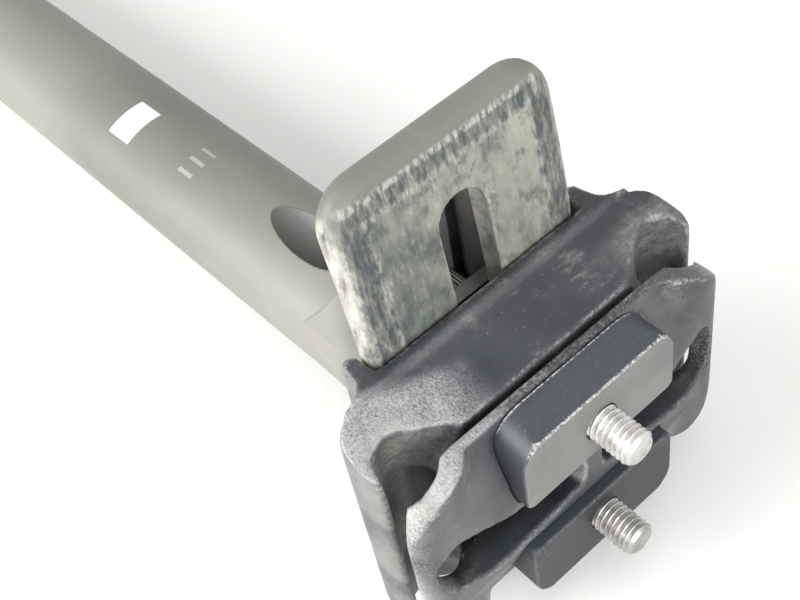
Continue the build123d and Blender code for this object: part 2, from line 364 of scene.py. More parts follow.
@dataclass(frozen=True)
class PostFinish:
    """Satin anodised post with a dirty, scuffed deck and plain ticks where the print was, with
    painted light on the post, neck and flanks and painted shade in the slot's cavity and the key
    hole.
    """

    body: Colour = (0.175, 0.178, 0.152)
    # pale: the satin's random tone and rubbing, and its painted light
    pale: Colour = (0.40, 0.39, 0.34)
    # flank: dry dust in the scratches, painted paler for the light on the flanks
    flank: Colour = (0.58, 0.56, 0.50)
    soot: Colour = (0.062, 0.071, 0.075)
    dark: Colour = (0.078, 0.090, 0.090)
    olive: Colour = (0.36, 0.365, 0.30)
    scuff: Colour = (0.62, 0.62, 0.58)
    print_white: Colour = (0.90, 0.90, 0.90)
    print_grey: Colour = (0.46, 0.46, 0.43)
    hollow: Colour = (0.27, 0.25, 0.225)
    # black: painted shade in the slot's cavity and the key hole
    black: Colour = (0.010, 0.010, 0.011)
    # the deck's face, a circle about an axis far below
    axis_z: float = 40.1
    track: float = 240.0
    head: Span = (262.0, 266.0)
    face_side: Span = (15.6, 16.6)
    face_rear: Span = (-43.1, -41.9)
    panel_side: Span = (12.0, 12.7)
    panel_rear: Span = (-40.2, -39.4)
    # the slot and the cavity below it
    slot_side: Span = (7.2, 7.5)
    slot_rear: Span = (-38.5, -38.0)
    slot_front: Span = (15.6, 16.6)
    slot_low: Span = (263.5, 265.5)
    # the hole for the key
    key_y: float = -10.34
    key_z: float = 270.7
    key_lean: float = math.radians(21.0)
    key_radius: float = 3.8
    # the plain marks: a bar and three ticks
    marks_rear: Span = (-14.0, -12.0)
    bar_x: float = 2.2
    bar_z: float = 192.4
    bar_across: Span = (3.7, 3.9)
    bar_along: Span = (2.9, 3.1)
    ticks_x: float = 2.0
    ticks_z: float = 210.8
    ticks_across: Span = (3.3, 3.4)
    ticks_along: Span = (1.8, 1.95)
    tick_step: float = 1.3
    tick_start: float = 1.2
    tick_half: Span = (0.32, 0.42)

    def make(self) -> bpy.types.Material:
        """Builds the material, layer by layer.

        Returns:
            The material.
        """
        p = PostPaint(self)
        for lay in (p.satin, p.flanks, p.deck, p.crests, p.slot, p.key_hole, p.marks):
            lay()
        return p.close(p.roughness(), p.bump(p.relief(), 0.12, p.soft))


class PostPaint(Paint):
    """The post's material in the making: its places, its noises and its layers."""

    def __init__(self, look: PostFinish) -> None:
        """Finds the post's places and makes the noises that the layers share.

        Args:
            look: colours and places of the finish.
        """
        super().__init__("post_satin")
        self.look = look
        self.side = self.x.size()
        self.back = self.y - CLAMP_Y
        up = self.z - look.axis_z
        self.track = (self.back * self.back + up * up) ** 0.5
        self.high = self.z.rises(*look.head)
        inward = self.side.falls(*look.face_side) * self.back.rises(*look.face_rear)
        self.face = self.near(-0.35, -0.05) * self.high * inward
        self.outer = self.high * self.side.rises(16.0, 16.9) * (1.0 - self.face)
        self.soft, self.edge = self.rim(0.5)
        self.cloud = self.noise(26.0, 4.0, (1.0, 1.0, 2.2))
        self.rub = self.noise(1.6, 4.0, (1.0, 1.0, 9.0), 3.1)
        self.fine = self.noise(0.55, 3.0, (1.0, 3.0, 3.0), 12.9)
        self.scratch = self.noise(0.8, 5.0, (3.0, 9.0, 3.0), 21.0, 0.7)
        self.patch = self.noise(5.2, 6.0, (1.0, 1.6, 1.6), 5.4, 0.66)
        self.streak = self.noise(1.0, 5.0, (1.0, 5.5, 5.5), 8.2, 0.65)
        self.smudge = self.noise(2.4, 5.0, (1.0, 1.4, 1.4), 15.3, 0.7)
        self.broad = self.noise(11.0, 2.0, shift=31.0)

    def near(self, low: float, high: float) -> Wire:
        """Rises between two heights over the deck's face."""
        return self.track.rises(self.look.track + low, self.look.track + high)

    def satin(self) -> None:
        """The post and neck: satin, with painted light that makes them paler towards the head, the
        foot and the sides.
        """
        look = self.look
        # painted light: paler towards the head, the sides and the foot
        painted_light = self.z.rises(196.0, 250.0) * self.z.falls(256.0, 264.0) * 0.5
        painted_light = painted_light + self.side.rises(2.0, 10.5) * self.z.falls(256.0, 262.0) * 0.06
        painted_light = painted_light + self.z.falls(165.0, 190.0) * 0.3
        share = (self.cloud.rises(0.35, 0.75) * 0.25 + painted_light).least(1.0)
        self.base = self.mix(share, look.body, look.pale)
        self.cover(self.rub.rises(0.62, 0.8) * 0.2, look.pale)

    def flanks(self) -> None:
        """The deck's flanks: scratched along the slide, pale with dry dust and with painted light.
        """
        # painted light: the scratched flanks painted paler than dust alone
        self.cover(self.outer * self.scratch.rises(0.30, 0.62), self.look.flank)
        self.cover(self.outer * self.scratch.falls(0.34, 0.42) * 0.7, self.look.dark)

    def panel(self) -> Wire:
        """The mottled panel of the deck's face that the clamp rubs.

        Returns:
            The colour.
        """
        look = self.look
        tone = self.patch * 0.5 + self.streak * 0.3 + self.broad * 0.3 - self.x * 0.010
        panel = self.mix(tone.rises(0.30, 0.78), look.dark, look.olive)
        panel = self.mix(self.smudge.falls(0.34, 0.50) * 0.6, panel, look.soot)
        dry = (self.smudge * 0.5 + self.fine * 0.5).rises(0.50, 0.68)
        return self.mix(dry * 0.5, panel, look.olive)

    def deck(self) -> None:
        """The deck's face: the panel inside a darker band, with a worn line between."""
        look, side, back = self.look, self.side, self.back
        dry = (self.streak * 0.6 + self.fine * 0.4).rises(0.38, 0.68)
        strip = self.mix(dry * 0.7, look.soot, look.olive)
        rubbed = self.streak.rises(0.60, 0.72) * self.smudge.rises(0.42, 0.6)
        strip = self.mix(rubbed * 0.8, strip, look.scuff)
        inside = side.falls(*look.panel_side) * back.rises(*look.panel_rear)
        dirty = self.mix(inside, strip, self.panel())
        sides = side.rises(12.0, 12.5) * side.falls(12.7, 13.3) * back.rises(-40.6, -39.8)
        end = back.rises(-40.6, -40.1) * back.falls(-39.8, -39.2) * side.falls(12.8, 13.2)
        line = (sides + end).least(1.0)
        worn = (self.fine * self.streak).rises(0.33, 0.44) * self.patch.rises(0.40, 0.66) * 0.8
        worn = worn + line * self.fine.rises(0.34, 0.66) * 0.4
        dirty = self.mix(worn.least(1.0) * 0.75, dirty, look.scuff)
        self.cover(self.face, dirty)

    def crests(self) -> None:
        """The head's edges, scuffed pale."""
        side, back = self.side, self.back
        end = back.rises(-43.4, -42.8) * back.falls(-42.4, -41.9) * side.falls(14.0, 16.4)
        sides = side.rises(15.6, 16.1) * side.falls(16.4, 16.9) * back.rises(-42.0, -38.0)
        crest = (self.edge + (end + sides) * self.near(-1.4, -0.7) * 0.8).least(1.0)
        crest = crest * self.fine.rises(0.40, 0.62) * self.high
        self.cover(crest * 0.7, self.look.scuff)

    def slot(self) -> None:
        """The slot's walls: brown grime, with painted shade going black in the cavity below."""
        look = self.look
        below = (1.0 - self.near(-0.9, -0.4)) * self.z.rises(*look.slot_low)
        below = below * self.back.rises(*look.slot_rear) * self.back.falls(*look.slot_front)
        slot = self.side.falls(*look.slot_side) * below
        grime = self.mix(self.smudge.rises(0.4, 0.66), look.hollow, look.dark)
        self.cover(slot * 0.92, grime)
        # painted shade: black deep in the slot's cavity
        self.cover(slot * (1.0 - self.near(-4.2, -3.0)) * 0.9, look.black)

    def key_hole(self) -> None:
        """The hole for the key: darker inside, with painted shade going black towards its inner
        end.
        """
        look = self.look
        aside = (self.y - look.key_y) * math.cos(look.key_lean)
        aside = aside - (self.z - look.key_z) * math.sin(look.key_lean)
        square = look.key_radius ** 2.0
        hole = (self.x * self.x + aside * aside).falls(square + 0.2, square + 0.9)
        hole = hole * self.z.falls(264.0, 266.0)
        self.cover(hole * (self.smudge * 0.3 + 0.45), look.soot)
        # painted shade: black towards the hole's inner end
        self.cover(hole * self.z.rises(236.0, 252.0) * 0.9, look.black)

    def marks(self) -> None:
        """The plain bar and ticks in line with the key hole."""
        look = self.look
        rear = self.y.falls(*look.marks_rear)
        bar = (self.x - look.bar_x).size().falls(*look.bar_across)
        bar = bar * (self.z - look.bar_z).size().falls(*look.bar_along) * rear
        ticks = (self.x + look.tick_start).zigzag(look.tick_step).falls(*look.tick_half)
        ticks = ticks * (self.x - look.ticks_x).size().falls(*look.ticks_across)
        ticks = ticks * (self.z - look.ticks_z).size().falls(*look.ticks_along) * rear
        faded = self.rub.rises(0.3, 0.5) * 0.35 + 0.65
        self.cover(bar * faded, look.print_white)
        self.cover(ticks * 0.8, look.print_grey)

    def roughness(self) -> Wire:
        """Satin, drier on the deck."""
        deck = self.face * (self.patch * 0.3 + 0.05) + self.outer * 0.1
        return 0.44 + self.cloud * 0.1 + deck

    def relief(self) -> Wire:
        """Scratches on the deck over a fine grain."""
        deck = self.face * (self.streak * 0.5 + self.smudge * 0.5)
        return deck + self.outer * self.scratch * 0.6 + self.noise(0.25, 2.0) * 0.12


@dataclass(frozen=True)
class ClampFinish:
    """Forged black clamp with a fine grain, bright worn edges and dust where it gathers, with
    painted sheen on its arms and ends, painted light on its upward faces and painted shade in its
    windows.
    """

    name: str
    black: Colour = (0.018, 0.021, 0.026)
    rubbed: Colour = (0.060, 0.065, 0.072)
    worn: Colour = (0.42, 0.42, 0.42)
    dust: Colour = (0.34, 0.335, 0.285)
    mote: Colour = (0.66, 0.66, 0.64)
    # end: painted sheen on the faces at the ends
    end: Colour = (0.36, 0.36, 0.358)
    end_sheen_share: float = 0.5
    # silver: the painted sheen on the arms
    silver: Colour = (0.50, 0.50, 0.515)
    # upper: painted light on the upward faces
    upper: Colour = (0.135, 0.140, 0.145)
    shade: Colour = (0.006, 0.007, 0.009)
    # the arms with the painted sheen
    arm_left: Span = (7.0, 15.0)
    arm_right: Span = (-20.0, -12.0)
    arm_low: Span = (283.4, 285.6)
    arm_rear: Span = (-36.8, -35.6)
    sweep_start: float = 10.0
    sweep_slope: float = 0.32
    # the windows
    window_side: Span = (20.0, 21.5)
    window_along: Span = (10.0, 11.0)
    window_top: Span = (292.8, 295.4)

    def make(self) -> bpy.types.Material:
        """Builds the material.

        Returns:
            The material.
        """
        p = Paint(self.name)
        relief = p.attribute(RELIEF)
        grain = p.noise(0.26, 3.0, shift=2.0, rough=0.75)
        cloud = p.noise(9.0, 4.0, shift=6.0)
        streak = p.noise(1.2, 4.0, (4.0, 1.0, 1.0), 4.4)
        fine = p.noise(0.5, 3.0, (1.0, 1.0, 1.0), 11.7, 0.7)
        p.base = p.mix(cloud.rises(0.38, 0.74) * 0.55, self.black, self.rubbed)
        p.cover(grain.rises(0.58, 0.8) * 0.5, self.rubbed)
        # painted sheen: faces turned across the bicycle, at the ends, lighter in patches
        ends = p.facing(Axis.ACROSS).size().rises(0.25, 0.95)
        ends = ends * (cloud * 0.5 + grain * 0.5).rises(0.34, 0.60)
        p.cover(ends * self.end_sheen_share, self.end)
        # painted light: upward faces lighter, in patches
        above = p.facing(Axis.UP).rises(0.55, 0.98) * (grain * 0.4 + cloud * 0.6).rises(0.25, 0.6)
        p.cover(above * 0.6, self.upper)
        bore = ((p.x.size() - RAIL_X) ** 2.0 + (p.z - RAIL_Z) ** 2.0) ** 0.5
        self.arms(p, bore, cloud)
        # dust in the hollows and in the mouths for the rails
        mouth = bore.falls(4.4, 7.4) * cloud.rises(0.34, 0.6)
        settled = mouth * 0.8 + relief.falls(0.18, 0.34) * 0.45
        settled = settled * (streak * 0.6 + fine * 0.4).rises(0.40, 0.62)
        p.cover(settled.least(1.0) * 0.62, self.dust)
        # painted shade, dark down in the windows
        within = p.x.size().falls(*self.window_side)
        within = within * (p.y - CLAMP_Y).size().falls(*self.window_along)
        p.cover(within * p.z.falls(*self.window_top) * 0.97, self.shade)
        self.smears(p)
        # edges rubbed bright
        edge = relief.rises(0.84, 1.10) * (fine * 0.6 + streak * 0.4).rises(0.44, 0.66)
        seam = p.y.falls(-37.4, -36.4) * 0.35 + 0.45
        p.cover(edge * seam, self.worn)
        rough = 0.27 + grain * 0.12 + cloud * 0.08 + settled * 0.25
        return p.close(rough, p.bump(grain, 0.09), specular=0.6)

    def arms(self, p: Paint, bore: Wire, cloud: Wire) -> None:
        """The arms given a painted sheen in a fine silvery grain, more on one side.

        Args:
            p: the material in the making.
            bore: distance from a rail's centre line.
            cloud: the clamp's broad noise.
        """
        rear = p.facing(Axis.ALONG).falls(-0.75, -0.35)
        reach = p.x.rises(*self.arm_left) + p.x.falls(*self.arm_right) * 0.3
        sweep = p.z + (p.x - self.sweep_start).most(0.0) * self.sweep_slope
        arm = rear * reach * sweep.rises(*self.arm_low)
        arm = arm * bore.rises(2.6, 4.2) * p.y.falls(*self.arm_rear)
        hair = p.noise(0.13, 2.0, (1.0, 1.0, 4.0), 17.5, 0.6)
        arm = arm * (hair * 0.7 + cloud * 0.3).rises(0.26, 0.66)
        # painted sheen on the arms
        p.cover(arm * 0.9, self.silver)

    def smears(self, p: Paint) -> None:
        """Pale motes, and dry smears on the rear band.

        Args:
            p: the material in the making.
        """
        motes = p.specks(0.9, 0.13, 3.3) * p.noise(5.0, 3.0, shift=14.2).rises(0.50, 0.64)
        p.cover(motes * 0.35, self.mote)
        patch = p.noise(6.0, 3.0, shift=27.0).rises(0.50, 0.68) * p.y.falls(-37.0, -35.0)
        smear = p.noise(0.9, 5.0, (2.6, 1.0, 1.0), 23.0, 0.7).rises(0.46, 0.74)
        p.cover(patch * smear * 0.34, self.mote)


@dataclass(frozen=True)
class NutFinish:
    """Satin dark grey nut plate with a fine grain, white specks, a worn ridge and painted light on
    its top face.
    """

    name: str
    grey: Colour = (0.046, 0.051, 0.060)
    # light: painted light on the top face, and the grain's pale flecks
    light: Colour = (0.205, 0.203, 0.194)
    worn: Colour = (0.66, 0.66, 0.65)
    dust: Colour = (0.42, 0.415, 0.37)
    outer_edge: Span = (15.4, 16.4)

    def make(self) -> bpy.types.Material:
        """Builds the material.

        Returns:
            The material.
        """
        p = Paint(self.name)
        relief = p.attribute(RELIEF)
        grain = p.noise(0.3, 3.0, (2.0, 1.0, 1.0), 1.5, 0.7)
        cloud = p.noise(11.0, 3.0, shift=7.7)
        dash = p.noise(0.24, 4.0, (1.0, 2.0, 2.0), 5.9, 0.7)
        # painted light: the top face lighter than the bevels
        top = p.facing(Axis.UP).rises(0.80, 0.97)
        p.base = p.mix(top * (cloud * 0.9 + grain * 0.4 + 0.25), self.grey, self.light)
        p.cover(grain.rises(0.50, 0.80) * 0.25, self.light)
        specks = p.specks(1.1, 0.14, 8.3) * p.noise(4.0, 3.0, shift=3.2).rises(0.50, 0.66)
        p.cover(specks * 0.6, self.dust)
        outer = (p.y - CLAMP_Y).size().rises(*self.outer_edge)
        edge = relief.rises(0.82, 1.04) * (outer * 0.8 + 0.1)
        p.cover(edge * dash.rises(0.40, 0.60), self.worn)
        rough = 0.36 + grain * 0.12 + cloud * 0.08
        return p.close(rough, p.bump(grain, 0.03))


@dataclass(frozen=True)
class SteelFinish:
    """Bright zinc-plated steel, dark with grime and painted shade on its lower part, inside the
    clamp and the post's head.
    """

    name: str
    bright: Colour = (0.74, 0.73, 0.71)
    # grime: grime and painted shade on the lower part
    dull: Colour = (0.46, 0.44, 0.40)
    grime: Colour = (0.050, 0.045, 0.040)
    dark_below: float = 297.0
    grime_and_shade_fade: float = 5.0

    def make(self) -> bpy.types.Material:
        """Builds the material.

        Returns:
            The material.
        """
        p = Paint(self.name)
        soft, edge = p.rim(0.12)
        cloud = p.noise(2.2, 4.0, shift=9.1)
        fine = p.noise(0.3, 3.0, shift=1.1)
        p.base = p.mix(cloud.rises(0.42, 0.7) * 0.7, self.bright, self.dull)
        p.cover(edge * 0.4, self.bright)
        # grime and painted shade: dark below a given height, where the steel sits inside the clamp
        # and the post's head
        low = (p.z + cloud * 3.0).falls(self.dark_below - self.grime_and_shade_fade, self.dark_below)
        p.cover(low * 0.9, self.grime)
        rough = 0.24 + cloud * 0.14 + fine * 0.06
        return p.close(rough, p.bump(fine, 0.015, soft), metallic=1.0)


def keep_sharp(piece: bpy.types.Object, angle: float) -> None:
    """Smooths a piece except at its sharp edges.

    Args:
        piece: mesh object.
        angle: edges sharper than this, in degrees, stay sharp.
    """
    piece.data.polygons.foreach_set("use_smooth", [True] * len(piece.data.polygons))
    piece.data.set_sharp_from_angle(angle=math.radians(angle))


def new_piece(name: str, shape: bmesh.types.BMesh) -> bpy.types.Object:
    """Turns a finished shape into a piece of the scene.

    Args:
        name: the piece's name.
        shape: its mesh in the making, which is freed.
    Returns:
        The piece.
    """
    mesh = bpy.data.meshes.new(name)
    shape.to_mesh(mesh)
    shape.free()
    piece = bpy.data.objects.new(name, mesh)
    bpy.context.scene.collection.objects.link(piece)
    return piece


def paint_over(mesh: bpy.types.Mesh, finish: bpy.types.Material) -> None:
    """Gives a mesh one finish in place of all others."""
    mesh.materials.clear()
    mesh.materials.append(finish)


@dataclass
class ThreadedBolt:
    """An M5 socket-head bolt with a real thread, in place of a plain solid."""

    node: str
    finish: bpy.types.Material
    radius: float = 2.5
    pitch: float = 0.8
    depth: float = 0.42
    head_radius: float = 4.25
    head_height: float = 5.0
    face_inset: float = 0.15
    socket_half: float = 2.0
    socket_depth: float = 2.6
    knurls: int = 36
    knurl_depth: float = 0.18
    bevel: float = 0.4
    tip_bevel: float = 0.55
    thread_rows: int = 420
    thread_columns: int = 49
    root_flat: float = 0.1
    flank_share: float = 0.75
    sharp: float = 32.0

    def __post_init__(self) -> None:
        """Takes the bolt's place from its node."""
        low, high = (Vector(corner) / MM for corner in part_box(self.node))
        self.x, self.y = (low.x + high.x) / 2.0, (low.y + high.y) / 2.0
        self.bottom, self.tip = low.z, high.z

    def turns(self) -> list[float]:
        """The angles of the points in one round of the head."""
        count = 4 * self.knurls
        return [math.tau * step / count for step in range(count)]

    def point(self, out: float, turn: float, height: float) -> Vector:
        """One point of the head.

        Args:
            out: distance from the bolt's axis in millimetres.
            turn: angle about the axis.
            height: height above the head's underside.
        Returns:
            The point in millimetres.
        """
        x, y = self.x + out * math.cos(turn), self.y + out * math.sin(turn)
        return Vector((x, y, self.bottom + height))

    def ring(self, radius: float, height: float, knurled: bool = False) -> list[Vector]:
        """One round of points.

        Args:
            radius: radius in millimetres.
            height: height above the head's underside.
            knurled: whether every other pair of points lies lower.
        Returns:
            The points.
        """
        points = []
        for step, turn in enumerate(self.turns()):
            cut = self.knurl_depth if knurled and step % 4 < 2 else 0.0
            points.append(self.point(radius - cut, turn, height))
        return points

    def hexagon(self, half: float, height: float) -> list[Vector]:
        """One hexagonal round of as many points.

        Args:
            half: half the width across flats.
            height: height above the head's underside.
        Returns:
            The points.
        """
        points = []
        for turn in self.turns():
            out = half / math.cos((turn % (math.pi / 3.0)) - math.pi / 6.0)
            points.append(self.point(out, turn, height))
        return points

    def head(self) -> bpy.types.Object:
        """Builds the knurled head with its hexagonal socket.

        Returns:
            The head as an object.
        """
        top = self.head_height
        rounds = [
            self.hexagon(self.socket_half, self.socket_depth),
            self.hexagon(self.socket_half, self.bevel / 2.0),
            self.hexagon(self.socket_half + self.bevel / 2.0, 0.0),
            self.ring(self.head_radius - self.bevel - self.face_inset, 0.0),
            self.ring(self.head_radius, self.bevel, True),
            self.ring(self.head_radius, top - self.bevel, True),
            self.ring(self.head_radius - self.bevel, top),
            self.ring(self.radius - self.depth, top),
            self.ring(self.radius - self.depth, top + self.bevel),
        ]
        shape = bmesh.new()
        loops = [[shape.verts.new(point * MM) for point in points] for points in rounds]
        for inner, outer in zip(loops, loops[1:]):
            for step in range(len(inner)):
                after = (step + 1) % len(inner)
                shape.faces.new((inner[step], inner[after], outer[after], outer[step]))
        shape.faces.new(list(reversed(loops[0])))
        shape.faces.new(loops[-1])
        bmesh.ops.recalc_face_normals(shape, faces=shape.faces)
        return new_piece(self.node + "_threaded", shape)

    def sizes(self) -> dict[str, Any]:
        """The thread's sizes in metres, and its finish, by the names of the tree's inputs.

        Returns:
            The value of each input.
        """
        start = self.head_height - self.bevel
        lengths = {
            "Radius": self.radius,
            "Depth": self.depth,
            "Pitch": self.pitch,
            "Length": self.tip - self.bottom - start,
            "Tip Bevel": self.tip_bevel,
            "X": self.x,
            "Y": self.y,
            "Z": self.bottom + start,
        }
        return {name: length * MM for name, length in lengths.items()} | {"Finish": self.finish}

    def thread_tree(self) -> bpy.types.NodeTree:
        """Builds the node tree that winds the thread onto the bolt.

        Returns:
            The tree, with the sizes in metres as named inputs.
        """
        tree = bpy.data.node_groups.new("bolt_thread", "GeometryNodeTree")
        face = tree.interface
        face.new_socket("Geometry", in_out="INPUT", socket_type="NodeSocketGeometry")
        for name, value in self.sizes().items():
            kind = "NodeSocketFloat" if isinstance(value, float) else "NodeSocketMaterial"
            face.new_socket(name, in_out="INPUT", socket_type=kind)
        face.new_socket("Geometry", in_out="OUTPUT", socket_type="NodeSocketGeometry")
        g = Graph(tree)
        given = g.node("NodeGroupInput")
        get = {name: g.wire(given, name) for name in self.sizes()}
        rows = self.thread_rows
        grid = {"Vertices X": self.thread_columns, "Vertices Y": rows}
        sheet = g.node("GeometryNodeMeshGrid", None, {"Size X": 1.0, "Size Y": 1.0, **grid})
        spot = g.wire(g.node("GeometryNodeInputPosition"))
        spot = g.node("ShaderNodeSeparateXYZ", None, {0: spot})
        turn = g.wire(spot, 0) + 0.5
        row = (g.wire(spot, 1) + 0.5) * (rows - 1.0)
        rise = ((row - 1.0) / (rows - 3.0)).most(0.0).least(1.0) * get["Length"]
        # the first and last rows close the ends
        closed = row.rises(0.2, 0.8) * row.falls(rows - 1.8, rows - 1.2)
        ridge = (rise / get["Pitch"] - turn).zigzag(0.5) * 2.0
        ridge = ((ridge - self.root_flat) / self.flank_share).most(0.0).least(1.0)
        wide = get["Radius"] - get["Depth"] * (1.0 - ridge)
        wide = wide.least(get["Radius"] - get["Tip Bevel"] + (get["Length"] - rise)) * closed
        angle = turn * math.tau
        across = wide * angle.cosine() + get["X"]
        along = wide * angle.sine() + get["Y"]
        place = g.node("ShaderNodeCombineXYZ", None, {0: across, 1: along, 2: rise + get["Z"]})
        inputs = {"Geometry": g.wire(sheet, "Mesh"), "Position": g.wire(place)}
        wound = g.wire(g.node("GeometryNodeSetPosition", None, inputs))
        inputs = {"Geometry": wound, "Distance": 0.001 * MM}
        sewn = g.node("GeometryNodeMergeByDistance", None, inputs)
        both = g.node("GeometryNodeJoinGeometry")
        tree.links.new(given.outputs["Geometry"], both.inputs[0])
        tree.links.new(sewn.outputs[0], both.inputs[0])
        real = g.wire(g.node("GeometryNodeRealizeInstances", None, {"Geometry": g.wire(both)}))
        inputs = {"Geometry": real, "Material": get["Finish"]}
        dressed = g.node("GeometryNodeSetMaterial", None, inputs)
        g.node("NodeGroupOutput", None, {"Geometry": g.wire(dressed)})
        return tree

    def build(self) -> bpy.types.Object:
        """Builds the bolt and puts it in the solid's place.

        Returns:
            The finished piece.
        """
        piece = self.head()
        wind = piece.modifiers.new("thread", "NODES")
        wind.node_group = self.thread_tree()
        sizes = self.sizes()
        for item in wind.node_group.interface.items_tree:
            if item.in_out == "INPUT" and item.name in sizes:
                wind[item.identifier] = sizes[item.name]
        shaped = piece.evaluated_get(bpy.context.evaluated_depsgraph_get())
        mesh = bpy.data.meshes.new_from_object(shaped)
        piece.modifiers.remove(wind)
        piece.data = mesh
        shape = bmesh.new()
        shape.from_mesh(mesh)
        bmesh.ops.recalc_face_normals(shape, faces=shape.faces)
        shape.to_mesh(mesh)
        shape.free()
        paint_over(mesh, self.finish)
        keep_sharp(piece, self.sharp)
        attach(piece, Body.CLAMP.value)
        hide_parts(self.node)
        return piece


@dataclass(frozen=True)
class HookCorner:
    """The fuller corners of the hooks, which the solid rounds off too far."""

    half_width: float = 27.2
    half_length: float = 20.8
    solid_round: float = 10.0
    full_round: float = 4.0
    root: float = 6.0
    # the skirt's reach from the clamp's middle, by height above the rails' centres
    skirt: tuple[Span, ...] = ((-8.2, 20.8), (-8.0, 19.8), (-4.6, 18.5), (0.8, 17.3))

    def outline(self, across: float, radius: float) -> float:
        """How far the plan reaches out beside a corner.

        Args:
            across: place across the bicycle, from the centre of the solid's own corner.
            radius: rounding of the corner.
        Returns:
            The reach from that same centre.
        """
        spare = self.solid_round - radius
        inward = max(0.0, min(across, self.solid_round) - spare)
        return spare + math.sqrt(max(0.0, radius * radius - inward * inward))

    def reach(self, height: float) -> float:
        """Finds the skirt's reach.

        Args:
            height: height above the rails' centres.
        Returns:
            The reach from the clamp's middle.
        """
        for (low, far), (high, near) in zip(self.skirt, self.skirt[1:]):
            if height < high:
                share = max(0.0, (height - low) / (high - low))
                return far + (near - far) * share
        return self.skirt[-1][1]

    def fill(self, mesh: bpy.types.Mesh) -> None:
        """Draws the corners out along the rails, so that the grooves keep their section.

        Args:
            mesh: the smoothed grid of the lower clamp.
        """
        straight = self.half_length - self.solid_round
        for point in mesh.vertices:
            place = point.co / MM
            across = abs(place.x) - (self.half_width - self.solid_round)
            along = place.y - CLAMP_Y
            out = abs(along) - straight
            if across <= 0.0 or out <= -self.root:
                continue
            limit = self.reach(place.z - RAIL_Z) - straight
            before = min(limit, self.outline(across, self.solid_round))
            after = min(limit, self.outline(across, self.full_round))
            share = min(1.0, (out + self.root) / (before + self.root))
            point.co.y += math.copysign((after - before) * share, along) * MM


@dataclass
class ForgedPiece:
    """A clamp piece with the soft edges of a forging, in place of its sharp solid."""

    node: str
    slot: Slot
    finish: bpy.types.Material
    grid: float
    rounds: int
    reach: int = 60
    flat: float = 0.5
    corner: Optional[HookCorner] = None

    def copy(self) -> bpy.types.Object:
        """Copies the solid's mesh with its doubles merged.

        Returns:
            The copy as an object.
        """
        shape = bmesh.new()
        shape.from_mesh(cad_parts[self.node].data)
        bmesh.ops.remove_doubles(shape, verts=shape.verts, dist=0.001 * MM)
        return new_piece(self.node + "_forged", shape)

    def shaped(self, piece: bpy.types.Object, rounds: int) -> bpy.types.Mesh:
        """Lays an even grid over the copy and smooths it.

        Args:
            piece: the copy of the solid.
            rounds: how many times the grid is smoothed.
        Returns:
            The smoothed grid as a plain mesh.
        """
        grid = piece.modifiers.new("grid", "REMESH")
        grid.mode = "VOXEL"
        grid.voxel_size = self.grid * MM
        grid.use_smooth_shade = True
        soft = piece.modifiers.new("soft", "SMOOTH")
        soft.factor = 0.5
        soft.iterations = rounds
        graph = bpy.context.evaluated_depsgraph_get()
        mesh = bpy.data.meshes.new_from_object(piece.evaluated_get(graph))
        piece.modifiers.clear()
        return mesh

    def build(self) -> bpy.types.Object:
        """Builds the piece, with its relief kept at its points, in the solid's place.

        Returns:
            The finished piece.
        """
        piece = self.copy()
        mesh = self.shaped(piece, self.rounds)
        wide = self.shaped(piece, self.reach)
        heights = mesh.attributes.new(RELIEF, "FLOAT", "POINT")
        for point, far, height in zip(mesh.vertices, wide.vertices, heights.data):
            proud = (point.co - far.co).dot(point.normal)
            height.value = self.flat + proud / (self.grid * MM)
        bpy.data.meshes.remove(wide)
        if self.corner is not None:
            self.corner.fill(mesh)
        piece.data = mesh
        paint_over(mesh, self.finish)
        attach(piece, Body.CLAMP.value)
        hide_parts(self.node)
        return piece


